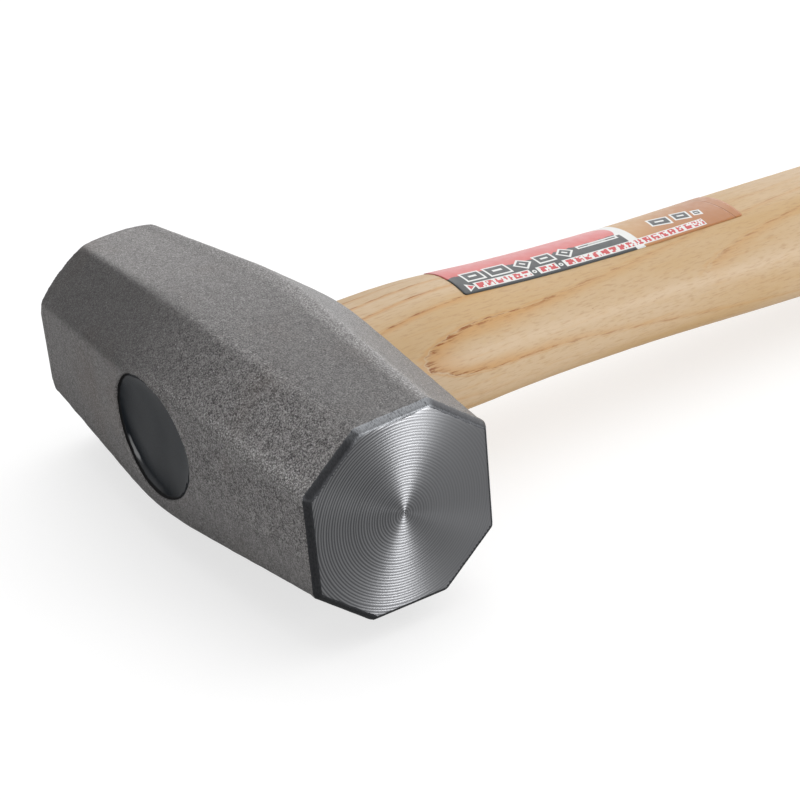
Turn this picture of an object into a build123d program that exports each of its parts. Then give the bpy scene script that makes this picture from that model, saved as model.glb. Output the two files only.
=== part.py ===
from build123d import *
from math import hypot, radians, tan
import os

os.makedirs("parts", exist_ok=True)

# Lump hammer, lying on its side: an octagonal steel head on an oval ash handle.
# Millimetres. +Y runs along the handle towards its butt, +X along the head, +Z up.
# The origin is on the bench, under the middle of the hammer's bounding box.

# The whole hammer
overall_length = 290.0  # from the wedge side of the head to the butt

# Head: eight flats round its axis, as (angle from the direction of the handle, then distance
# from the axis at the striking face, at mid-length, where the two tapers would meet in a
# sharp bend if it weren't rounded, and at the far face). The top was forged a little out of
# square, and the far end a little fuller there.
head_length = 107.5
handle_flat = (0.0, 18.5, 22.1, 18.5)
handle_top_flat = (52.6, 19.8, 25.9, 20.8)
top_flat = (93.0, 19.1, 23.7, 19.9)
wedge_top_flat = (130.0, 19.2, 25.15, 19.8)
wedge_flat = (180.0, 18.5, 22.1, 18.5)
wedge_bench_flat = (230.0, 19.2, 25.15, 19.2)
bench_flat = (270.0, 18.7, 23.2, 18.7)
handle_bench_flat = (310.0, 19.2, 25.15, 19.2)
bend_radius = 120.0
corner_radius = 1.2
chamfer_inward = 0.8  # of the striking face, flat by flat
chamfer_backward = 1.2
turned_radius = 19.75  # of the far face, whose rim is turned to a cone
turned_slope = 1.2  # length over radius

# Eye: an oval hole, flared from its waist towards both mouths
eye_rise = 1.1  # of the eye's axis above the middle of the head
eye_ratio = 1.21  # length over height
eye_wedge_mouth = 29.0
eye_waist = 26.8
eye_handle_mouth = 28.0
eye_rim_radius = 0.4

# Handle: oval sections as (distance from the eye's centre, width along the head)
handle_lean = 2.25  # degrees, so that the butt touches the bench along with the head
oval_ratio = 1.25  # width over thickness
grip_sections = (
    (14.0, 31.4),
    (22.0, 32.4),
    (30.0, 33.4),
    (38.0, 34.0),
    (50.0, 32.9),
    (64.0, 31.4),
    (78.0, 30.8),
    (92.0, 30.7),
    (108.0, 31.4),
    (125.0, 32.2),
    (145.0, 32.8),
    (175.0, 33.7),
    (205.0, 34.5),
    (235.0, 34.8),
    (255.0, 34.3),
)
butt_width = 33.4
butt_radius = 5.0

# Wedges, driven flush with the end of the wood, and the resin that covers them
tenon_recess = 3.0  # from the head's flat down to the end of the wood
wood_wedge_length = 26.0
wood_wedge_thickness = 4.6
wood_wedge_tip = 1.4
steel_wedge_length = 20.0
steel_wedge_width = 18.0
steel_wedge_thickness = 3.4
steel_wedge_tip = 0.8
resin_below_flat = 0.45
resin_film = 0.5  # left standing up the wall of the eye
resin_dish_depth = 1.4
resin_dish_radius = 1.2
blank_margin = 0.5  # by which the wood and resin blanks overlap the wall of the eye

# Label: a printed film along the upper side of the handle
label_thickness = 0.15
label_start = 45.7
label_length = 71.5
label_low_side = 7.2
label_high_side = -8.0
label_corner = 0.5


def reach(flat):
    """Distance of an evenly tapered flat from the head's axis at mid-length, inside the bend."""
    angle, near_distance, body_distance, far_distance = flat
    taper = (body_distance - near_distance) / (head_length / 2)
    return body_distance - bend_radius * (hypot(1, taper) - 1)


# Places that follow from the sizes above
flat_distance = reach(wedge_flat)
eye_y = flat_distance - overall_length / 2
butt_distance = overall_length - flat_distance
head_height = reach(bench_flat)
eye_height = head_height + eye_rise
tenon_end = tenon_recess - flat_distance
wedge_top = eye_y + tenon_end
grip_start = grip_sections[0][0]
label_middle = ((label_low_side + label_high_side) / 2, eye_y + label_start + label_length / 2)


def across_handle(distance, height=eye_height):
    """Plane square to the eye's axis, at a distance from the eye's centre towards the butt."""
    return Plane(origin=(0, eye_y + distance, height), x_dir=(1, 0, 0), z_dir=(0, -1, 0))


def below_flat(flat, inset=0.0):
    """Solid that fills everything below one flat of the head, or below a level inset from it."""
    angle, near_distance, body_distance, far_distance = flat
    end = head_length / 2
    with BuildPart() as block:
        with BuildSketch(Plane(origin=(0, eye_y, head_height)).rotated((angle, 0, 0))) as outline:
            with BuildLine():
                Polyline(
                    (-end, far_distance - inset),
                    (0, body_distance - inset),
                    (end, near_distance - inset),
                    (end, -head_length / 2),
                    (-end, -head_length / 2),
                    close=True,
                )
            make_face()
            fillet(outline.vertices().group_by(Axis.X)[1], radius=bend_radius)
        extrude(amount=head_length / 2, both=True)
    return block.part


def eye_oval(length, growth=0.0):
    """Section of the eye, given its length along the head."""
    with BuildSketch() as oval:
        Ellipse(length / 2 + growth, length / eye_ratio / 2 + growth)
    return oval.sketch


def wedge_outline(top_thickness, tip_thickness, length):
    """Outline of a wedge, its top at the origin and its tip along +Y."""
    with BuildSketch() as outline:
        with BuildLine():
            Polyline(
                (-top_thickness / 2, 0),
                (top_thickness / 2, 0),
                (tip_thickness / 2, length),
                (-tip_thickness / 2, length),
                close=True,
            )
        make_face()
    return outline.sketch


def grip_blank(growth):
    """Solid of the grip, from inside the head to the butt, grown all round."""
    with BuildPart() as blank:
        for distance, width in grip_sections + ((butt_distance, butt_width),):
            height = eye_height - distance * tan(radians(handle_lean))
            with BuildSketch(across_handle(distance, height)):
                Ellipse(width / 2 + growth, width / oval_ratio / 2 + growth)
        loft()
        fillet(blank.faces().sort_by(Axis.Y)[-1].edges(), radius=butt_radius)
    return blank.part


# Head: the flats cut one another into an octagonal barrel
with BuildPart() as head:
    add(below_flat(handle_flat))
    other_flats = (
        handle_top_flat,
        top_flat,
        wedge_top_flat,
        wedge_flat,
        wedge_bench_flat,
        bench_flat,
        handle_bench_flat,
    )
    for flat in other_flats:
        add(below_flat(flat), mode=Mode.INTERSECT)

    # The striking face is chamfered before the long corners are eased
    striking_face = head.faces().sort_by(Axis.X)[-1]
    chamfer(
        striking_face.edges(),
        length=chamfer_inward,
        length2=chamfer_backward,
        reference=striking_face,
    )
    long_corners = head.edges().filter_by(lambda edge: edge.bounding_box().size.X > head_length / 10)
    fillet(long_corners, radius=corner_radius)

    # The cone at the far end cuts deepest at the corners, so each flat ends in an arc
    with Locations(Plane(origin=(0, eye_y, head_height), z_dir=(1, 0, 0))):
        Cone(
            bottom_radius=turned_radius,
            top_radius=turned_radius + head_length / turned_slope,
            height=head_length,
            mode=Mode.INTERSECT,
        )

    # The eye narrows from each mouth to its waist
    for side, flat, mouth in ((-1, wedge_flat, eye_wedge_mouth), (1, handle_flat, eye_handle_mouth)):
        with BuildSketch(across_handle(side * flat[2])):
            add(eye_oval(mouth))
        with BuildSketch(across_handle(0)):
            add(eye_oval(eye_waist))
        loft(mode=Mode.SUBTRACT)
    eye_rims = head.edges().filter_by(
        lambda edge: edge.geom_type != GeomType.LINE
        and abs(edge.center().X) < eye_wedge_mouth / 2
        and abs(edge.center().Y - eye_y) > flat_distance * 0.9
        and abs(edge.center().Z - eye_height) < eye_wedge_mouth / 2
    )
    fillet(eye_rims, radius=eye_rim_radius)
head.part.label = "head"
export_step(head.part, "parts/head.step")

# Steel wedge: stands across the oval
with BuildPart() as steel_wedge:
    with BuildSketch(Plane(origin=(0, wedge_top, eye_height))):
        add(wedge_outline(steel_wedge_thickness, steel_wedge_tip, steel_wedge_length))
    extrude(amount=steel_wedge_width / 2, both=True)
steel_wedge.part.label = "steel_wedge"
export_step(steel_wedge.part, "parts/steel_wedge.step")

# Wood wedge: fills a saw cut along the oval from wall to wall, split by the steel wedge
with BuildPart() as wood_wedge:
    with BuildSketch(Plane(origin=(0, wedge_top, eye_height)).rotated((0, 90, 0))):
        add(wedge_outline(wood_wedge_thickness, wood_wedge_tip, wood_wedge_length))
    extrude(amount=eye_wedge_mouth / 2 + blank_margin, both=True)
    add(head.part, mode=Mode.SUBTRACT)
    add(steel_wedge.part, mode=Mode.SUBTRACT)
wood_wedge.part.label = "wood_wedge"
export_step(wood_wedge.part, "parts/wood_wedge.step")

# Handle: one piece of ash, whose tenon fills the eye up to the resin
grip = grip_blank(0)
with BuildPart() as handle:
    add(grip)
    with BuildSketch(across_handle(tenon_end)):
        add(eye_oval(eye_wedge_mouth, blank_margin))
    extrude(amount=tenon_end - grip_start)
    add(head.part, mode=Mode.SUBTRACT)
    add(wood_wedge.part, mode=Mode.SUBTRACT)
    add(steel_wedge.part, mode=Mode.SUBTRACT)
handle.part.label = "handle"
export_step(handle.part, "parts/handle.step")

# Resin: fills the eye over the wood, with a dished surface that climbs the wall
with BuildPart() as dish:
    with BuildSketch(across_handle(-flat_distance)):
        add(eye_oval(eye_wedge_mouth, -resin_film))
    extrude(amount=-(resin_below_flat + resin_dish_depth))
    fillet(dish.faces().sort_by(Axis.Y)[-1].edges(), radius=resin_dish_radius)
with BuildPart() as resin_plug:
    with BuildSketch(across_handle(tenon_end)):
        add(eye_oval(eye_wedge_mouth, blank_margin))
    extrude(amount=tenon_recess)
    add(below_flat(wedge_flat, resin_below_flat), mode=Mode.INTERSECT)
    add(head.part, mode=Mode.SUBTRACT)
    add(dish.part, mode=Mode.SUBTRACT)
resin_plug.part.label = "resin_plug"
export_step(resin_plug.part, "parts/resin_plug.step")

# Label: a film that follows the grip, cut to a rectangle as seen from above
sleeve = grip_blank(label_thickness)
with BuildPart() as label:
    add(sleeve)
    with BuildSketch(Plane(origin=(*label_middle, head_height))):
        RectangleRounded(label_low_side - label_high_side, label_length, label_corner)
    extrude(amount=head_height, mode=Mode.INTERSECT)
    add(grip, mode=Mode.SUBTRACT)
label.part.label = "label"
export_step(label.part, "parts/label.step")
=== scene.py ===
from math import cos, exp, pi, radians, sin, tan

import bpy
import numpy as np
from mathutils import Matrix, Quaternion, Vector, noise
from mathutils.bvhtree import BVHTree


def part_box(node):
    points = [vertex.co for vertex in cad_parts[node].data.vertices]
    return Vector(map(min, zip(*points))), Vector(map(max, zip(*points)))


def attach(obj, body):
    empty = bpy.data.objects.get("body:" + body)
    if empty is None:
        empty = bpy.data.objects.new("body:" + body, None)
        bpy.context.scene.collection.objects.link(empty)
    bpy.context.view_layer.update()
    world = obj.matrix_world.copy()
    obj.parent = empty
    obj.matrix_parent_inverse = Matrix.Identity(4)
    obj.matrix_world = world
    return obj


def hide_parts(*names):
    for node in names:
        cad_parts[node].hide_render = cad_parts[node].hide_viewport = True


# Lump hammer. Lengths are metres, except inside the materials, which work in millimetres.
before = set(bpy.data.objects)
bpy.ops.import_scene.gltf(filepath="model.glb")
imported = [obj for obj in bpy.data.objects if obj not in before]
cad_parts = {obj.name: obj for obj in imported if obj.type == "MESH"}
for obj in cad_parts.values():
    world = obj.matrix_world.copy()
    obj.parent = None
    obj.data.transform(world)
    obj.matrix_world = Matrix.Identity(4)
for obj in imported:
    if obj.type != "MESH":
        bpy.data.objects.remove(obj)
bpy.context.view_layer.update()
MM = 0.001

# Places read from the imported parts, in millimetres
head_low, head_high = (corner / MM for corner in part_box("head"))
label_low, label_high = (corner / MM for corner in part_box("label"))
plug_low, plug_high = (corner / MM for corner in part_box("resin_plug"))
HEAD_CENTRE = (head_low + head_high) / 2
HALF_HEAD = head_high.x
EYE_HEIGHT = (plug_low.z + plug_high.z) / 2
EYE_HALF_LENGTH = plug_high.x
EYE_HALF_HEIGHT = (plug_high.z - plug_low.z) / 2
EYE_RISE = 1.1  # of the eye's axis above the head's
AXIS_HEIGHT = EYE_HEIGHT - EYE_RISE
HANDLE_LEAN = radians(2.25)


def srgb(red_and_sheen, green, blue):
    """A colour given as 0 to 255 display values, for a shader socket."""

    def linear(value):
        value /= 255
        return value / 12.92 if value <= 0.04045 else ((value + 0.055) / 1.055) ** 2.4

    return (linear(red_and_sheen), linear(green), linear(blue), 1.0)


class Tree:
    """A material's node tree, with short calls for the nodes used here."""

    def __init__(self, name):
        self.material = bpy.data.materials.new(name)
        self.material.use_nodes = True
        self.nodes = self.material.node_tree.nodes
        self.links = self.material.node_tree.links
        self.nodes.clear()
        coordinates = self.nodes.new("ShaderNodeTexCoord")
        self.place = self.vector("SCALE", coordinates.outputs["Object"], scale=1 / MM)

    def put(self, socket, value):
        """Gives a socket a number, or links another socket to it."""
        if isinstance(value, bpy.types.NodeSocket):
            self.links.new(value, socket)
        else:
            socket.default_value = value

    def math(self, operation, *values):
        node = self.nodes.new("ShaderNodeMath")
        node.operation = operation
        for socket, value in zip(node.inputs, values):
            self.put(socket, value)
        return node.outputs[0]

    def vector(self, operation, *values, scale=None):
        node = self.nodes.new("ShaderNodeVectorMath")
        node.operation = operation
        for socket, value in zip(node.inputs, values):
            self.put(socket, value)
        if scale is not None:
            self.put(node.inputs["Scale"], scale)
        return node.outputs["Value" if operation in ("LENGTH", "DOT_PRODUCT") else "Vector"]

    def split(self, vector):
        node = self.nodes.new("ShaderNodeSeparateXYZ")
        self.put(node.inputs[0], vector)
        return node.outputs[0], node.outputs[1], node.outputs[2]

    def join(self, x, y, z):
        node = self.nodes.new("ShaderNodeCombineXYZ")
        for socket, value in zip(node.inputs, (x, y, z)):
            self.put(socket, value)
        return node.outputs[0]

    def noise(self, size, at=None, detail=2.0, roughness=0.5, distortion=0.0):
        """Soft noise from 0 to 1, whose features are about size millimetres across."""
        node = self.nodes.new("ShaderNodeTexNoise")
        self.put(node.inputs["Vector"], at or self.place)
        node.inputs["Scale"].default_value = 1 / size
        node.inputs["Detail"].default_value = detail
        node.inputs["Roughness"].default_value = roughness
        node.inputs["Distortion"].default_value = distortion
        return node.outputs[0]

    def step(self, value, low, high, to_low=0.0, to_high=1.0):
        """A smooth step as value goes from low to high."""
        node = self.nodes.new("ShaderNodeMapRange")
        node.interpolation_type = "SMOOTHSTEP"
        for socket, number in zip(node.inputs, (value, low, high, to_low, to_high)):
            self.put(socket, number)
        return node.outputs[0]

    def mix(self, factor, first, second, blend="MIX"):
        """Mixes two colours."""
        node = self.nodes.new("ShaderNodeMix")
        node.data_type = "RGBA"
        node.blend_type = blend
        self.put(node.inputs[0], factor)
        self.put(node.inputs[6], first)
        self.put(node.inputs[7], second)
        return node.outputs[2]

    def bump(self, height, depth=1.0, normal=None):
        """Turns a height in millimetres, times depth, into a normal."""
        node = self.nodes.new("ShaderNodeBump")
        node.inputs["Strength"].default_value = 1.0
        node.inputs["Distance"].default_value = depth * MM
        self.put(node.inputs["Height"], height)
        if normal:
            self.put(node.inputs["Normal"], normal)
        return node.outputs[0]

    def shader(self, **inputs):
        """A Principled shader, its inputs named with underscores for spaces."""
        node = self.nodes.new("ShaderNodeBsdfPrincipled")
        for name, value in inputs.items():
            self.put(node.inputs[name.replace("_", " ")], value)
        return node

    def blend(self, factor, first, second):
        """Mixes two shaders."""
        node = self.nodes.new("ShaderNodeMixShader")
        self.put(node.inputs[0], factor)
        self.links.new(first.outputs[0], node.inputs[1])
        self.links.new(second.outputs[0], node.inputs[2])
        return node

    def finish(self, shader):
        output = self.nodes.new("ShaderNodeOutputMaterial")
        self.links.new(shader, output.inputs["Surface"])
        return self.material


# Head: blasted forged scale on the flats, turned striking faces, ground chamfers
RING_PITCH = 0.53
RING_HEIGHT = 0.018
FACE_DEPTH = 0.02  # within which a place is on a striking face
CHAMFER_BACKWARD = 1.2
CONE_RADIUS = 19.75  # of the turned rim at the far face
CONE_SLOPE = 1.2
WORN_CORNER = radians(151)  # from the direction of the handle, round the head's axis
LIT_CORNER = radians(69)
TOP_FLAT = radians(93)
WEDGE_TOP_FLAT = radians(131)
WEDGE_FLAT = radians(180)
FLAT_REACH = (15.0, 22.0)  # degrees from a flat's middle at which it starts and ends to fade
WEDGE_FLAT_REACH = (25.0, 31.0)
SCALE_DARK = srgb(58, 56, 57)
SCALE_LIGHT = srgb(138, 136, 135)
SCALE_BROWN = srgb(94, 84, 78)
# Corner colour: partly wear, partly a painted highlight
SCALE_WEAR_AND_HIGHLIGHT = srgb(150, 148, 147)
# Painted glints
SCALE_GLINT = srgb(205, 204, 203)
TURNED_STEEL = srgb(176, 177, 180)
TURNED_GROOVE_SHADE = srgb(104, 105, 108)
GROUND_LIGHT = srgb(102, 103, 106)
GROUND_DARK = srgb(52, 53, 56)
GROUND_PAINTED_LIGHT = srgb(128, 130, 133)


def near_corner(tree, across, radius, corner, inner, outer):
    """How near a place is to a direction round the head, from 0 to 1, the limits in degrees."""
    towards = tree.vector("DOT_PRODUCT", across, (0.0, cos(corner), sin(corner)))
    return tree.step(tree.math("DIVIDE", towards, radius), cos(radians(outer)), cos(radians(inner)))


def scale_shader(tree, x, z, across, radius, coarse):
    """Blasted forging scale: grains and pits, soft stains, painted light and shade on the flats, corners
    brighter from wear and a painted highlight, and painted glints.
    """
    fine = tree.noise(0.31, detail=3.0, roughness=0.7)
    bold = near_corner(tree, across, radius, WORN_CORNER, 10.0, 55.0)
    bold = tree.math("MULTIPLY", bold, tree.step(x, -30.0, 35.0))
    stain = tree.noise(17.0, detail=3.0, roughness=0.6)
    tone = tree.math("MULTIPLY_ADD", fine, 0.8, tree.math("MULTIPLY", coarse, 0.2))
    tone = tree.math("SUBTRACT", tree.step(tone, 0.36, 0.66), 0.5)
    tone = tree.math("MULTIPLY_ADD", tone, tree.step(bold, 0.0, 1.0, 0.55, 1.1), 0.5)
    colour = tree.mix(tone, SCALE_DARK, SCALE_LIGHT)
    colour = tree.mix(tree.step(stain, 0.50, 0.80, 0.0, 0.30), colour, SCALE_BROWN)
    on_top = near_corner(tree, across, radius, TOP_FLAT, *FLAT_REACH)
    on_upper = near_corner(tree, across, radius, WEDGE_TOP_FLAT, *FLAT_REACH)
    on_wedge = near_corner(tree, across, radius, WEDGE_FLAT, *WEDGE_FLAT_REACH)
    # Painted light and shade: the top flat lighter towards the far end, the flat above the wedge side
    # darker at the far end and lighter towards the striking face, the wedge-side flat lighter higher up
    painted_light_gain = tree.math("MULTIPLY", on_top, tree.step(x, -50.0, 40.0, 0.62, -0.12))
    painted_light_gain = tree.math("MULTIPLY_ADD", on_upper, tree.step(x, -25.0, 50.0, -0.22, 0.50), painted_light_gain)
    painted_light_gain = tree.math("MULTIPLY_ADD", on_wedge, tree.step(z, 6.0, 22.0, -0.05, 0.58), painted_light_gain)
    colour = tree.vector("SCALE", colour, scale=tree.math("ADD", painted_light_gain, 1.0))
    # Corners brighter: along WORN_CORNER partly real wear and partly a painted highlight, along LIT_CORNER
    # a painted highlight
    worn = near_corner(tree, across, radius, WORN_CORNER, 1.0, 9.0)
    worn = tree.math("MULTIPLY", worn, tree.step(x, -15.0, 40.0))
    lit = near_corner(tree, across, radius, LIT_CORNER, 1.0, 6.0)
    worn = tree.math("MAXIMUM", worn, tree.math("MULTIPLY", lit, 0.8))
    wear_and_highlight_grain = tree.math("MULTIPLY", worn, tree.step(fine, 0.40, 0.60, 0.15, 0.8))
    colour = tree.mix(wear_and_highlight_grain, colour, SCALE_WEAR_AND_HIGHLIGHT)
    # Painted glints: bright specks, more of them along the worn corner
    glint = tree.step(tree.math("MULTIPLY_ADD", worn, 0.09, fine), 0.64, 0.72)
    glint = tree.math("MULTIPLY", glint, tree.step(bold, 0.0, 1.0, 0.30, 0.85))
    colour = tree.mix(glint, colour, SCALE_GLINT)
    height = tree.math("MULTIPLY_ADD", fine, 0.26, tree.math("MULTIPLY", coarse, 0.16))
    height = tree.math("MULTIPLY", height, tree.step(bold, 0.0, 1.0, 0.6, 1.1))
    return tree.shader(
        Base_Color=colour,
        Metallic=tree.step(glint, 0.0, 1.0, 0.55, 0.95),
        Roughness=tree.step(fine, 0.35, 0.70, 0.58, 0.36),
        Normal=tree.bump(height),
    )


def turned_shader(tree, y, radius):
    """Turned face: rings round the head's axis, deepest on the wedge side, shining across themselves, with
    painted shade in their grooves.
    """
    wobble = tree.noise(0.9, at=tree.join(radius, 0.0, 0.0), detail=1.0)
    turns = tree.math("MULTIPLY_ADD", wobble, 0.8, tree.math("DIVIDE", radius, RING_PITCH))
    ring = tree.math("SINE", tree.math("MULTIPLY", turns, 2 * pi))
    side = tree.math("SUBTRACT", y, HEAD_CENTRE.y)
    cut = tree.step(tree.math("MULTIPLY_ADD", tree.noise(9.0), 8.0, side), -2.0, 16.0, 1.0, 0.25)
    height = tree.math("MULTIPLY", tree.math("MULTIPLY", ring, cut), RING_HEIGHT)
    fine_ring = tree.noise(0.11, at=tree.join(radius, 0.0, 0.0), detail=2.0)
    height = tree.math("MULTIPLY_ADD", fine_ring, 0.006, height)
    tangent = tree.nodes.new("ShaderNodeTangent")
    tangent.direction_type = "RADIAL"
    tangent.axis = "X"
    # Painted shade in the ring grooves, weaker where the rings are shallow
    tone = tree.math("MULTIPLY", tree.step(ring, -0.8, 0.8, 0.75, 0.0), cut)
    return tree.shader(
        Base_Color=tree.mix(tone, TURNED_STEEL, TURNED_GROOVE_SHADE),
        Metallic=1.0,
        Roughness=0.39,
        Anisotropic=0.9,
        Anisotropic_Rotation=0.25,
        Tangent=tangent.outputs[0],
        Normal=tree.bump(height),
    )


def ground_shader(tree, across, radius):
    """Chamfer: ground fine and left dark, with painted light along the top flat."""
    grind = tree.noise(0.5, at=tree.vector("MULTIPLY", tree.place, (1.0, 3.0, 1.0)), detail=3.0)
    colour = tree.mix(grind, GROUND_DARK, GROUND_LIGHT)
    # Painted light on the chamfer next to the top flat
    on_top = near_corner(tree, across, radius, TOP_FLAT, 21.0, 27.0)
    bright = tree.math("MULTIPLY", on_top, tree.step(grind, 0.25, 0.55))
    return tree.shader(
        Base_Color=tree.mix(bright, colour, GROUND_PAINTED_LIGHT),
        Metallic=0.9,
        Roughness=0.42,
        Normal=tree.bump(tree.math("MULTIPLY", grind, 0.03)),
    )


def head_material():
    tree = Tree("forged_head")
    x, y, z = tree.split(tree.place)
    depth = tree.math("SUBTRACT", HALF_HEAD, tree.math("ABSOLUTE", x))
    across = tree.join(0.0, tree.math("SUBTRACT", y, HEAD_CENTRE.y), tree.math("SUBTRACT", z, AXIS_HEIGHT))
    radius = tree.vector("LENGTH", across)
    coarse = tree.noise(1.3, detail=2.0)

    # The ground part ends at the chamfer's edge, or at the far end where the cone does
    chamfer_end = tree.math("MULTIPLY_ADD", coarse, 0.25, CHAMFER_BACKWARD - 0.1)
    cone_end = tree.math("MULTIPLY_ADD", radius, CONE_SLOPE, 0.15 - CONE_RADIUS * CONE_SLOPE)
    ground_end = tree.step(x, -1.0, 1.0, cone_end, chamfer_end)
    is_ground = tree.math("LESS_THAN", depth, ground_end)
    is_turned = tree.math("LESS_THAN", depth, FACE_DEPTH)

    scale = scale_shader(tree, x, z, across, radius, coarse)
    worked = tree.blend(is_ground, scale, ground_shader(tree, across, radius))
    return tree.finish(tree.blend(is_turned, worked, turned_shader(tree, y, radius)).outputs[0])


# Ash: flat growth rings that run out along the handle, so they draw a long V by the head
RING_NORMAL = (0.902, 0.431)
RING_SPACING = 3.5
RUN_OUT = 0.067
FIRST_RING = 16.12
V_DISTANCE = 30.0
ASH_PALE = srgb(194, 169, 137)
ASH_WARM = srgb(186, 153, 106)
ASH_RING = srgb(188, 136, 70)
ASH_PORE = srgb(138, 78, 26)
ASH_GRAIN = srgb(160, 122, 82)


def along_and_rings(tree):
    """Distance from the eye's centre along the handle, and the growth-ring coordinate."""
    x, y, z = tree.split(tree.place)
    distance = tree.math("SUBTRACT", y, HEAD_CENTRE.y)
    height = tree.math("SUBTRACT", z, EYE_HEIGHT)
    height = tree.math("MULTIPLY_ADD", distance, tan(HANDLE_LEAN), height)
    rings = tree.math("MULTIPLY", x, RING_NORMAL[0])
    rings = tree.math("MULTIPLY_ADD", height, RING_NORMAL[1], rings)
    rings = tree.math("MULTIPLY_ADD", distance, RUN_OUT, rings)
    return distance, rings


def ash_material(name):
    tree = Tree(name)
    distance, rings = along_and_rings(tree)
    slow = tree.vector("MULTIPLY", tree.place, (1.0, 0.15, 1.0))
    long = tree.vector("MULTIPLY", tree.place, (1.0, 0.06, 1.0))
    hair = tree.vector("MULTIPLY", tree.place, (1.0, 0.025, 1.0))
    mottle = tree.noise(1.6, at=tree.vector("MULTIPLY", tree.place, (1.0, 0.5, 1.0)), detail=3.0)
    warp = tree.math("SUBTRACT", tree.noise(8.0, at=slow, detail=2.0), 0.5)
    ragged = tree.math("SUBTRACT", tree.noise(1.1, at=long, detail=2.0), 0.5)
    rings = tree.math("MULTIPLY_ADD", warp, 0.8, rings)
    rings = tree.math("MULTIPLY_ADD", ragged, 0.30, rings)
    rings = tree.math("MULTIPLY_ADD", tree.math("SUBTRACT", mottle, 0.5), 0.35, rings)
    rings = tree.math("SUBTRACT", rings, FIRST_RING + RUN_OUT * V_DISTANCE)
    phase = tree.math("FRACT", tree.math("DIVIDE", rings, RING_SPACING))

    # Each ring starts with strands of pores inside a warm band, and fades into plain wood
    band = tree.math("MULTIPLY", tree.step(phase, 0.0, 0.05), tree.step(phase, 0.06, 0.32, 1.0, 0.0))
    before = tree.step(phase, 0.93, 1.0, 0.0, 0.8)
    band = tree.math("MAXIMUM", band, before)
    line = tree.math("MULTIPLY", tree.step(phase, 0.0, 0.02), tree.step(phase, 0.05, 0.12, 1.0, 0.0))
    patchy = tree.step(tree.noise(11.0, at=slow, detail=1.0), 0.38, 0.62, 0.15, 1.0)
    patchy = tree.math("MULTIPLY", patchy, tree.step(distance, 40.0, 65.0, 1.0, 0.5))
    near_v = tree.step(tree.math("ABSOLUTE", rings), 2.2, 1.2)
    near_v = tree.math("MULTIPLY", near_v, tree.step(distance, 45.0, 80.0, 1.0, 0.4))
    patchy = tree.math("MAXIMUM", patchy, near_v)
    strands = tree.noise(0.45, at=long, detail=3.0, roughness=0.7)
    broken = tree.math("MULTIPLY", tree.step(strands, 0.48, 0.58), tree.step(mottle, 0.35, 0.55, 0.3, 1.0))
    pores = tree.math("MULTIPLY", tree.math("MULTIPLY", line, broken), patchy)
    streak = tree.noise(0.6, at=hair, detail=4.0, roughness=0.6)
    cloud = tree.noise(14.0, at=slow, detail=3.0)
    grain = tree.noise(0.35, at=tree.vector("MULTIPLY", tree.place, (1.0, 0.15, 1.0)), detail=3.0)
    fleck = tree.step(tree.noise(0.5, at=tree.vector("MULTIPLY", tree.place, (1.0, 0.3, 1.0))), 0.74, 0.80)

    colour = tree.mix(tree.step(cloud, 0.35, 0.70), ASH_PALE, ASH_WARM)
    colour = tree.mix(tree.step(mottle, 0.45, 0.75, 0.0, 0.25), colour, ASH_WARM)
    shade = tree.math("MULTIPLY", band, tree.math("MULTIPLY", patchy, 0.60))
    colour = tree.mix(shade, colour, ASH_RING)
    colour = tree.mix(tree.step(streak, 0.52, 0.80, 0.0, 0.22), colour, ASH_RING)
    colour = tree.mix(tree.step(grain, 0.48, 0.75, 0.0, 0.40), colour, ASH_GRAIN)
    colour = tree.mix(tree.math("MULTIPLY", pores, 0.95), colour, ASH_PORE)
    colour = tree.mix(tree.math("MULTIPLY", fleck, 0.45), colour, ASH_PORE)
    height = tree.math("MULTIPLY_ADD", streak, 0.02, tree.math("MULTIPLY", pores, -0.05))
    shader = tree.shader(
        Base_Color=colour,
        Roughness=tree.step(streak, 0.3, 0.8, 0.52, 0.64),
        Specular_IOR_Level=0.35,
        Coat_Weight=0.12,
        Coat_Roughness=0.3,
        Normal=tree.bump(height),
    )
    return tree.finish(shader.outputs[0])


# Resin: poured dark and glossy, darker and duller in a thin ring where it meets the wall of the eye
RESIN_DARK = srgb(10, 14, 19)
RESIN_LIGHT = srgb(19, 25, 31)
RESIN_RIM_DARK = srgb(5, 5, 6)
RIM_DARK_START, RIM_DARK_END = 0.972, 0.984  # as a share of the eye's half size


def resin_material():
    tree = Tree("dark_resin")
    x, y, z = tree.split(tree.place)
    height = tree.math("SUBTRACT", z, EYE_HEIGHT)
    oval = tree.join(
        tree.math("DIVIDE", x, EYE_HALF_LENGTH),
        0.0,
        tree.math("DIVIDE", height, EYE_HALF_HEIGHT),
    )
    from_middle = tree.math("MULTIPLY_ADD", tree.noise(0.9), 0.02, tree.vector("LENGTH", oval))
    rim_dark = tree.step(from_middle, RIM_DARK_START, RIM_DARK_END)
    swirl = tree.noise(7.0, detail=2.0)
    gloss = tree.step(tree.noise(3.0, detail=3.0), 0.35, 0.75, 0.06, 0.12)
    shader = tree.shader(
        Base_Color=tree.mix(rim_dark, tree.mix(swirl, RESIN_DARK, RESIN_LIGHT), RESIN_RIM_DARK),
        Specular_IOR_Level=0.4,
        Roughness=tree.math("MAXIMUM", gloss, tree.math("MULTIPLY", rim_dark, 0.9)),
        Normal=tree.bump(tree.math("MULTIPLY", tree.noise(4.0, detail=0.0), 0.02)),
    )
    return tree.finish(shader.outputs[0])


WEDGE_DARK = srgb(96, 96, 98)
WEDGE_LIGHT = srgb(140, 140, 142)


def wedge_steel_material():
    tree = Tree("wedge_steel")
    grain = tree.noise(0.8, detail=3.0)
    shader = tree.shader(
        Base_Color=tree.mix(grain, WEDGE_DARK, WEDGE_LIGHT),
        Metallic=0.9,
        Roughness=tree.step(grain, 0.3, 0.7, 0.4, 0.6),
        Normal=tree.bump(tree.math("MULTIPLY", grain, 0.05)),
    )
    return tree.finish(shader.outputs[0])


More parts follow.
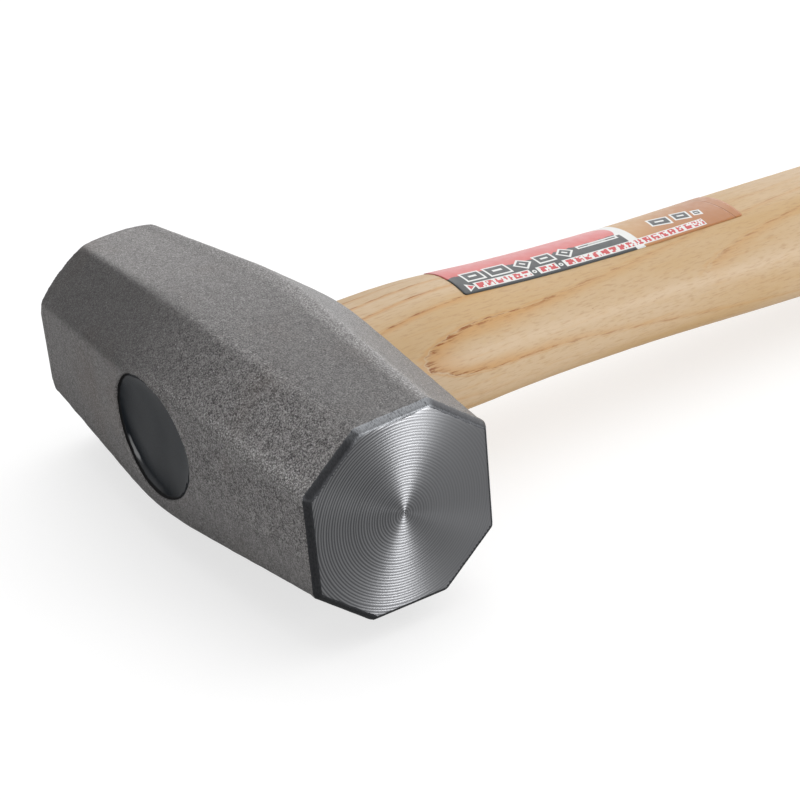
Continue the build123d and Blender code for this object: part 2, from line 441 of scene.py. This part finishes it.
# Label: printed film. u runs along the handle from the label's head end, and v across it
LABEL_RED = srgb(196, 84, 82)
LABEL_PAINTED_SHEEN = srgb(206, 126, 126)
LABEL_SLATE = srgb(38, 43, 46)
LABEL_WHITE = srgb(214, 215, 213)
LABEL_ORANGE = srgb(164, 104, 50)
LABEL_AMBER = srgb(182, 140, 86)
MARK_RED = srgb(186, 46, 52)
LABEL_CREASE_SHADE = srgb(120, 70, 40)
BAND_END = 43.0  # of the red and slate bands
STRIP_END = 45.2  # of the white strip
ROW_START, ROW_END, ROW_MIDDLE, ROW_PITCH = 4.0, 62.0, 5.4, 2.2
ROW_DOTS = (18.1, 24.7)
MARK_HALF = (0.86, 0.80)
STROKE = 0.44
POINTER_START, POINTER_END = 2.0, 3.6
OUTLINE = 0.22
EDGE = 0.06  # over which an outline softens
OPENING = (0.45, 0.2)  # in each plain block, as a share of its half size
CREASE_AT = 68.6

# Plain blocks in place of the heading and the weight, as (middle, half size, turn in degrees)
PLAIN_BLOCKS = (
    ((5.5, 1.8), (2.1, 1.7), 0.0),
    ((11.5, 1.8), (2.5, 1.8), 0.0),
    ((17.6, 1.9), (1.4, 1.4), 45.0),
    ((23.0, 1.9), (2.0, 1.5), 0.0),
    ((28.2, 1.9), (1.35, 1.35), 45.0),
    ((36.8, 1.5), (5.0, 0.45), 0.0),
    ((54.0, 0.7), (2.3, 1.6), 12.0),
    ((59.4, 1.1), (1.8, 1.5), 12.0),
    ((63.2, 1.8), (0.9, 0.9), 12.0),
)


def label_block(tree, u, v, middle, half, turn=0.0):
    """Signed distance from a block, given its middle, half sizes and turn in degrees."""
    across_u = tree.math("SUBTRACT", u, middle[0])
    across_v = tree.math("SUBTRACT", v, middle[1])
    c, s = cos(radians(turn)), sin(radians(turn))
    turned_u = tree.math("MULTIPLY_ADD", across_u, c, tree.math("MULTIPLY", across_v, s))
    turned_v = tree.math("MULTIPLY_ADD", across_v, c, tree.math("MULTIPLY", across_u, -s))
    past_u = tree.math("SUBTRACT", tree.math("ABSOLUTE", turned_u), half[0])
    past_v = tree.math("SUBTRACT", tree.math("ABSOLUTE", turned_v), half[1])
    return tree.math("MAXIMUM", past_u, past_v)


def outlined(tree, colour, distance, fill):
    """Paints a shape with a white outline, from its signed distance."""
    colour = tree.mix(tree.step(distance, OUTLINE + EDGE, OUTLINE - EDGE), colour, LABEL_WHITE)
    return tree.mix(tree.step(distance, -OUTLINE + EDGE, -OUTLINE - EDGE), colour, fill)


def printed_bands(tree, u, v):
    """Red over slate with a ragged edge and a domed end, then a white strip, then orange; the red and the
    orange paler towards low x as a painted sheen.
    """
    ragged = tree.math("MULTIPLY", tree.math("SUBTRACT", tree.noise(2.2, detail=3.0), 0.5), 2.4)
    # Painted sheen: the red paler pink towards low x
    red_and_sheen = tree.mix(tree.step(v, -6.0, 1.5), LABEL_PAINTED_SHEEN, LABEL_RED)
    colour = tree.mix(tree.step(tree.math("ADD", v, ragged), 0.6, 0.9), red_and_sheen, LABEL_SLATE)
    from_dome = tree.math("MULTIPLY", tree.math("ADD", v, 2.6), 0.25)
    dome = tree.math("POWER", tree.math("ABSOLUTE", from_dome), 2.4)
    dome_end = tree.math("MULTIPLY_ADD", dome, -1.6, BAND_END)
    end = tree.math("MAXIMUM", dome_end, tree.math("MULTIPLY", v, 40.0))
    end = tree.math("MINIMUM", end, BAND_END)
    colour = tree.mix(tree.step(tree.math("SUBTRACT", u, end), -0.1, 0.1), colour, LABEL_WHITE)
    # Amber towards the head end of the orange, and paler towards low x as a painted sheen
    fade = tree.math("MULTIPLY_ADD", v, 1.2, tree.math("MULTIPLY_ADD", tree.noise(9.0), 10.0, u))
    orange = tree.mix(tree.step(fade, 46.0, 70.0), LABEL_AMBER, LABEL_ORANGE)
    return tree.mix(tree.step(u, STRIP_END - 0.1, STRIP_END + 0.1), colour, orange)


def plain_blocks(tree, u, v, colour):
    """Outlined blocks with an opening, where the heading and the weight were."""
    for middle, half, turn in PLAIN_BLOCKS:
        shape = label_block(tree, u, v, middle, half, turn)
        colour = outlined(tree, colour, shape, LABEL_SLATE)
        opening = (half[0] * OPENING[0], half[1] * OPENING[1])
        inner = label_block(tree, u, v, middle, opening, turn)
        colour = tree.mix(tree.step(inner, 0.05, -0.05), colour, LABEL_WHITE)
    return colour


def small_marks(tree, u, v, colour):
    """A row of flecked squares along the low edge, broken by two dots and led by a pointer."""
    along = tree.math("DIVIDE", tree.math("SUBTRACT", u, ROW_START), ROW_PITCH)
    across_u = tree.math("SUBTRACT", tree.math("FRACT", along), 0.5)
    across_u = tree.math("MULTIPLY", across_u, ROW_PITCH)
    across_v = tree.math("SUBTRACT", v, ROW_MIDDLE)
    mark = label_block(tree, across_u, across_v, (0.0, 0.0), MARK_HALF)
    row_middle = ((ROW_START + ROW_END) / 2, ROW_MIDDLE)
    inside = label_block(tree, u, v, row_middle, ((ROW_END - ROW_START) / 2, 1.2))
    mark = tree.math("MAXIMUM", mark, inside)
    for dot in ROW_DOTS:
        gap = label_block(tree, u, v, (dot, ROW_MIDDLE), (1.1, 2.0))
        mark = tree.math("MAXIMUM", mark, tree.math("MULTIPLY", gap, -1.0))
    flecks = tree.nodes.new("ShaderNodeTexWhiteNoise")
    flecks.noise_dimensions = "2D"
    grid = tree.vector("FLOOR", tree.vector("SCALE", tree.join(u, v, 0.0), scale=1 / STROKE))
    tree.put(flecks.inputs["Vector"], grid)
    is_red = tree.math("GREATER_THAN", flecks.outputs["Value"], 0.30)
    fill = tree.mix(is_red, LABEL_WHITE, MARK_RED)
    colour = tree.mix(tree.step(mark, 0.30, 0.20), colour, LABEL_WHITE)
    colour = tree.mix(tree.step(mark, 0.04, -0.04), colour, fill)
    for dot in ROW_DOTS:
        ring = tree.vector("LENGTH", tree.join(tree.math("SUBTRACT", u, dot), across_v, 0.0))
        colour = tree.mix(tree.step(ring, 0.55, 0.45), colour, LABEL_WHITE)
        colour = tree.mix(tree.step(ring, 0.25, 0.15), colour, LABEL_SLATE)
    pointer = tree.math("ABSOLUTE", tree.math("MULTIPLY", across_v, 1.6))
    pointer = tree.math("ADD", pointer, tree.math("SUBTRACT", u, POINTER_END))
    pointer = tree.math("MAXIMUM", pointer, tree.math("SUBTRACT", POINTER_START, u))
    return outlined(tree, colour, pointer, MARK_RED)


def label_material():
    tree = Tree("printed_film")
    x, y, z = tree.split(tree.place)
    u = tree.math("SUBTRACT", y, label_low.y)
    colour = printed_bands(tree, u, x)
    colour = plain_blocks(tree, u, x, colour)
    colour = small_marks(tree, u, x, colour)

    # A crease near the butt end, dented, with painted shade along it
    crease = tree.math("SUBTRACT", tree.math("MULTIPLY_ADD", x, -0.12, u), CREASE_AT)
    fold = tree.step(tree.math("ABSOLUTE", crease), 0.25, 0.05)
    colour = tree.mix(tree.math("MULTIPLY", fold, 0.30), colour, LABEL_CREASE_SHADE)
    shader = tree.shader(
        Base_Color=colour,
        Roughness=tree.step(tree.noise(1.5, detail=3.0), 0.3, 0.7, 0.36, 0.46),
        Coat_Weight=0.1,
        Coat_Roughness=0.2,
        Normal=tree.bump(tree.math("MULTIPLY", fold, -0.06)),
    )
    return tree.finish(shader.outputs[0])


# Head mesh: the CAD shape again, fine enough for an uneven forged skin and worn corners
SKIN_STEP = 0.51  # size of a face
MACHINED_DEPTH = 1.5  # from an end face, kept as the CAD has it
SKIN_WAVES = ((11.0, 0.16), (3.5, 0.07), (1.3, 0.035))  # size and height
SMOOTHING_ROUNDS = 10
LEAST_WEAR = 0.12  # of the corners at the far end, the near end being 1
NEAR_EYE = (1.04, 1.12)  # as a share of the eye's half size, where the skin starts to move


def link(name, mesh):
    piece = bpy.data.objects.new(name, mesh)
    bpy.context.scene.collection.objects.link(piece)
    return piece


def smooth_step(values, low, high):
    t = np.clip((values - low) / (high - low), 0.0, 1.0)
    return t * t * (3 - 2 * t)


def make_head(material):
    rough = link("rough_head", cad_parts["head"].data.copy())
    remesh = rough.modifiers.new("remesh", "REMESH")
    remesh.mode = "VOXEL"
    remesh.voxel_size = SKIN_STEP * MM
    graph = bpy.context.evaluated_depsgraph_get()
    mesh = bpy.data.meshes.new_from_object(rough.evaluated_get(graph))
    bpy.data.objects.remove(rough)
    mesh.name = "forged_head"

    count = len(mesh.vertices)
    place = np.zeros(count * 3, np.float32)
    mesh.vertices.foreach_get("co", place)
    place = place.reshape(-1, 3).astype(float) / MM
    pairs = np.zeros(len(mesh.edges) * 2, np.int32)
    mesh.edges.foreach_get("vertices", pairs)
    pairs = pairs.reshape(-1, 2)

    # How much of the skin may move: none of it at the machined ends or inside the eye
    from_end = HALF_HEAD - np.abs(place[:, 0])
    in_eye = np.hypot(place[:, 0] / EYE_HALF_LENGTH, (place[:, 2] - EYE_HEIGHT) / EYE_HALF_HEIGHT)
    level_with_eye = np.abs(place[:, 2] - EYE_HEIGHT) < EYE_HALF_HEIGHT * NEAR_EYE[1]
    near_eye = (in_eye < NEAR_EYE[1]) & level_with_eye
    free = smooth_step(from_end, MACHINED_DEPTH, MACHINED_DEPTH * 2)
    free *= np.where(near_eye, smooth_step(in_eye, *NEAR_EYE), 1.0)

    # Wear: corners between the flats are rubbed rounder, more so towards the striking face
    worn = free * (LEAST_WEAR + (1 - LEAST_WEAR) * smooth_step(place[:, 0], -25.0, 35.0))
    neighbours = np.bincount(pairs.ravel(), minlength=count)[:, None]
    for _ in range(SMOOTHING_ROUNDS):
        total = np.zeros_like(place)
        np.add.at(total, pairs[:, 0], place[pairs[:, 1]])
        np.add.at(total, pairs[:, 1], place[pairs[:, 0]])
        place += (total / neighbours - place) * (0.5 * worn)[:, None]
    mesh.vertices.foreach_set("co", (place * MM).astype(np.float32).ravel())
    mesh.update()

    # Forging: shallow waves and pits, all inwards so that the head stays inside its box
    normals = np.zeros(count * 3, np.float32)
    mesh.vertex_normals.foreach_get("vector", normals)
    normals = normals.reshape(-1, 3)
    depth = np.zeros(count)
    for size, height in SKIN_WAVES:
        waves = np.array([noise.noise(Vector(point) / size) for point in place])
        depth += (waves * 0.5 + 0.5) * height
    place -= normals * (depth * free)[:, None]
    mesh.vertices.foreach_set("co", (place * MM).astype(np.float32).ravel())
    mesh.polygons.foreach_set("use_smooth", [True] * len(mesh.polygons))
    mesh.materials.clear()
    mesh.materials.append(material)
    mesh.update()
    head = link("forged_head", mesh)
    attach(head, "root")
    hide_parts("head")


# Resin mesh: a dished surface that creeps up the wall of the eye
RESIN_LEVEL = 2.3  # from the head's flat down to the middle of the resin
RESIN_TOP = 0.42  # from the flat down to where the resin ends on the wall
CREEP = 1.35  # how far from the wall the surface levels out
RIPPLE = 0.10  # height of the surface's unevenness
RESIN_AROUND = 128
RESIN_INWARD = 28
CROWDING = 1.8  # power by which the rings of points crowd towards the wall
BACK_SHARE = 0.992  # size of the resin's back against the eye's
BEND_RADIUS = 120.0  # of the head's flat at mid-length
FLAT_TAPER = 0.067


def flat_retreat(x):
    """How far the head's flat has fallen back at a distance along the head: a bend, then a taper."""
    bend_end = BEND_RADIUS * FLAT_TAPER
    x = abs(x)
    if x < bend_end:
        return x * x / (2 * BEND_RADIUS)
    return bend_end * bend_end / (2 * BEND_RADIUS) + (x - bend_end) * FLAT_TAPER


def make_resin(material):
    around, inward = RESIN_AROUND, RESIN_INWARD
    front = head_low.y
    points = []
    for ring in range(inward):
        # Rings crowd towards the wall, where the surface turns up
        share = 1 - (ring / inward) ** CROWDING
        for i in range(around):
            turn = 2 * pi * i / around
            x = share * EYE_HALF_LENGTH * cos(turn)
            z = share * EYE_HALF_HEIGHT * sin(turn)
            top = flat_retreat(EYE_HALF_LENGTH * cos(turn)) + RESIN_TOP
            top += RIPPLE * noise.noise(Vector((x, 0.0, z)) / 1.5)
            from_wall = (1 - share) * (EYE_HALF_LENGTH + EYE_HALF_HEIGHT) / 2
            creep = exp(-from_wall / CREEP)
            level = RESIN_LEVEL + RIPPLE * noise.noise(Vector((x, 5.0, z)) / 7.0)
            depth = level + (top - level) * creep
            points.append((x, front + depth, EYE_HEIGHT + z))
    points.append((0.0, front + RESIN_LEVEL, EYE_HEIGHT))
    middle = len(points) - 1
    back_start = len(points)
    for i in range(around):
        x, y, z = points[i]
        points.append((x * BACK_SHARE, plug_high.y, EYE_HEIGHT + (z - EYE_HEIGHT) * BACK_SHARE))
    faces = []
    for i in range(around):
        j = (i + 1) % around
        for ring in range(inward - 1):
            low, high = ring * around, (ring + 1) * around
            faces.append((low + i, low + j, high + j, high + i))
        faces.append(((inward - 1) * around + i, (inward - 1) * around + j, middle))
        faces.append((i, back_start + i, back_start + j, j))
    faces.append(tuple(range(back_start, back_start + around)))
    mesh = bpy.data.meshes.new("resin_fill")
    mesh.from_pydata([tuple(value * MM for value in point) for point in points], [], faces)
    mesh.validate()
    mesh.polygons.foreach_set("use_smooth", [True] * len(mesh.polygons))
    mesh.materials.append(material)
    mesh.update()
    resin = link("resin_fill", mesh)
    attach(resin, "root")
    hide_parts("resin_plug")


# Label mesh: a smooth film through the CAD film's upper side
FILM_STEP = 0.5
FILM_THICKNESS = 0.12
FILM_MARGIN = 0.02  # kept inside the CAD film
CORNER_CUT = 0.17  # by which each corner point is drawn in
FILM_DEGREES = (6, 7)  # of the surface across and along the handle


def film_heights(across, along):
    """Heights of the film over a grid, fitted to what the CAD film's upper side gives."""
    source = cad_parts["label"].data
    polygons = [polygon.vertices for polygon in source.polygons]
    surface = BVHTree.FromPolygons([vertex.co for vertex in source.vertices], polygons)
    middle = (label_low + label_high) / 2
    half = (label_high - label_low) / 2
    scaled = np.stack([(across - middle.x) / half.x, (along - middle.y) / half.y])
    found = []
    for x, y in zip(across, along):
        hit = surface.ray_cast(Vector((x, y, label_high.z + 1)) * MM, Vector((0, 0, -1)))[0]
        found.append(hit.z / MM if hit else np.nan)
    found = np.array(found)
    powers = np.polynomial.polynomial.polyvander2d(scaled[0], scaled[1], FILM_DEGREES)
    known = np.isfinite(found)
    fit = np.linalg.lstsq(powers[known], found[known], rcond=None)[0]
    return powers @ fit - FILM_MARGIN


def make_label(material):
    columns = round((label_high.x - label_low.x) / FILM_STEP)
    rows = round((label_high.y - label_low.y) / FILM_STEP)
    x_line = np.linspace(label_low.x + FILM_MARGIN, label_high.x - FILM_MARGIN, columns + 1)
    y_line = np.linspace(label_low.y + FILM_MARGIN, label_high.y - FILM_MARGIN, rows + 1)
    along, across = (grid.copy() for grid in np.meshgrid(y_line, x_line, indexing="ij"))
    for row, y_side in ((0, 1), (-1, -1)):
        for column, x_side in ((0, 1), (-1, -1)):
            across[row, column] += x_side * CORNER_CUT
            along[row, column] += y_side * CORNER_CUT
    height = film_heights(across.ravel(), along.ravel()).reshape(across.shape)
    slope_y, slope_x = np.gradient(height, y_line, x_line)
    normal = np.stack([-slope_x, -slope_y, np.ones_like(height)], axis=-1)
    normal /= np.linalg.norm(normal, axis=-1, keepdims=True)
    top = np.stack([across, along, height], axis=-1)
    bottom = top - normal * FILM_THICKNESS
    points = np.concatenate([top.reshape(-1, 3), bottom.reshape(-1, 3)]) * MM

    count = top.shape[0] * top.shape[1]
    wide = columns + 1
    faces = []
    for row in range(rows):
        for column in range(columns):
            a = row * wide + column
            quad = (a, a + 1, a + wide + 1, a + wide)
            faces.append(quad)
            faces.append(tuple(count + corner for corner in reversed(quad)))
    rim = list(range(columns))
    rim += [row * wide + columns for row in range(rows)]
    rim += [rows * wide + column for column in range(columns, 0, -1)]
    rim += [row * wide for row in range(rows, 0, -1)]
    side_start = len(faces)
    for a, b in zip(rim, rim[1:] + rim[:1]):
        faces.append((a, a + count, b + count, b))
    mesh = bpy.data.meshes.new("label_film")
    mesh.from_pydata([tuple(point) for point in points], [], faces)
    mesh.polygons.foreach_set("use_smooth", [index < side_start for index in range(len(faces))])
    mesh.materials.append(material)
    mesh.update()
    label = link("label_film", mesh)
    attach(label, "root")
    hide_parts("label")


def dress(node, material):
    """Gives a carried-over CAD node a material."""
    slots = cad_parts[node].material_slots
    for slot in slots:
        slot.material = material
    if not slots:
        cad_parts[node].data.materials.append(material)


make_head(head_material())
make_resin(resin_material())
make_label(label_material())
dress("handle", ash_material("ash"))
dress("wood_wedge", ash_material("wedge_wood"))
dress("steel_wedge", wedge_steel_material())


# Floor: a pale round table that glows a little, kept out of the steel's reflections
FLOOR_RADIUS = 4.0
FLOOR_COLOUR = srgb(165, 165, 165)
FLOOR_GLOW = 0.67
FLOOR_SIDES = 64
FLOOR_DROP = 0.0001  # below the hammer, so that nothing touches


def make_floor():
    tree = Tree("pale_floor")
    shader = tree.shader(
        Base_Color=FLOOR_COLOUR,
        Roughness=0.9,
        Specular_IOR_Level=0.0,
        Emission_Color=(1.0, 1.0, 1.0, 1.0),
        Emission_Strength=FLOOR_GLOW,
    )
    mesh = bpy.data.meshes.new("floor")
    turn = 2 * pi / FLOOR_SIDES
    corners = range(FLOOR_SIDES)
    rim = [(FLOOR_RADIUS * cos(i * turn), FLOOR_RADIUS * sin(i * turn), 0.0) for i in corners]
    mesh.from_pydata(rim, [], [tuple(corners)])
    mesh.materials.append(tree.finish(shader.outputs[0]))
    floor = link("floor", mesh)
    floor.location.z = -FLOOR_DROP
    floor.visible_glossy = False


make_floor()


# Light: soft boxes, given by place, size and power
LAMP_TARGET = Vector((0.0, -0.05, 0.02))
LAMPS = {
    "front_strip": ((0.65, -0.95, 0.10), (1.0, 0.18), 1.15),
    "side": ((0.98, 0.52, 0.17), (0.45, 0.28), 6.1),
}

# Studio: dim, with soft bright parts, given by direction, cosines of reach and strength
STUDIO_DIM = 0.12
STUDIO_PARTS = {
    "top_back": ((-0.10, 0.60, 0.80), (0.30, 0.98), 1.6),
    "far_top": ((-0.60, 0.45, 0.65), (0.75, 1.0), 0.55),
    "back": ((-0.60, 0.78, -0.15), (0.80, 1.0), 1.25),
    "wedge_side_top": ((-0.45, -0.65, 0.61), (0.75, 1.0), 0.7),
    "streak": ((-0.26, -0.96, 0.14), (0.965, 0.995), 3.6),
    "wedge_side_low": ((-0.75, -0.45, -0.50), (0.75, 1.0), 0.16),
    "front_low": ((0.77, 0.457, -0.449), (0.60, 1.0), 0.28),
}


def make_lamps():
    for name, (place, size, power) in LAMPS.items():
        data = bpy.data.lights.new(name, "AREA")
        data.shape = "RECTANGLE"
        data.size, data.size_y = size
        data.energy = power
        lamp = bpy.data.objects.new(name, data)
        bpy.context.scene.collection.objects.link(lamp)
        lamp.location = place
        aim = LAMP_TARGET - lamp.location
        lamp.rotation_euler = aim.to_track_quat("-Z", "Y").to_euler()


def make_studio():
    world = bpy.data.worlds.new("studio")
    world.use_nodes = True
    bpy.context.scene.world = world
    nodes, links = world.node_tree.nodes, world.node_tree.links
    coordinates = nodes.new("ShaderNodeTexCoord")
    total = None
    for direction, (low, high), strength in STUDIO_PARTS.values():
        facing = nodes.new("ShaderNodeVectorMath")
        facing.operation = "DOT_PRODUCT"
        facing.inputs[1].default_value = Vector(direction).normalized()
        links.new(coordinates.outputs["Generated"], facing.inputs[0])
        fade = nodes.new("ShaderNodeMapRange")
        fade.interpolation_type = "SMOOTHSTEP"
        fade.inputs["From Min"].default_value = low
        fade.inputs["From Max"].default_value = high
        fade.inputs["To Min"].default_value = 0.0
        fade.inputs["To Max"].default_value = strength
        links.new(facing.outputs["Value"], fade.inputs["Value"])
        added = nodes.new("ShaderNodeMath")
        added.operation = "ADD"
        added.inputs[1].default_value = STUDIO_DIM
        links.new(fade.outputs[0], added.inputs[0])
        if total:
            links.new(total, added.inputs[1])
        total = added.outputs[0]
    links.new(total, nodes["Background"].inputs["Strength"])
    nodes["Background"].inputs["Color"].default_value = (1.0, 1.0, 1.0, 1.0)


make_lamps()
make_studio()
bpy.context.scene.view_settings.view_transform = "Standard"

# Camera: from the photograph's side, above the striking face
CAMERA_PLACE = Vector((0.31315, -0.27622, 0.19582))
CAMERA_TARGET = Vector((0.00588, -0.09357, 0.01631))
CAMERA_ROLL = radians(5.157)
camera_data = bpy.data.cameras.new("camera")
camera_data.lens = 91.78
camera_data.sensor_width = 36.0
camera_data.clip_start = 0.01
camera = bpy.data.objects.new("camera", camera_data)
bpy.context.scene.collection.objects.link(camera)
camera.location = CAMERA_PLACE
camera.rotation_mode = "QUATERNION"
level = (CAMERA_TARGET - CAMERA_PLACE).to_track_quat("-Z", "Y")
camera.rotation_quaternion = level @ Quaternion((0.0, 0.0, 1.0), -CAMERA_ROLL)
bpy.context.scene.camera = camera
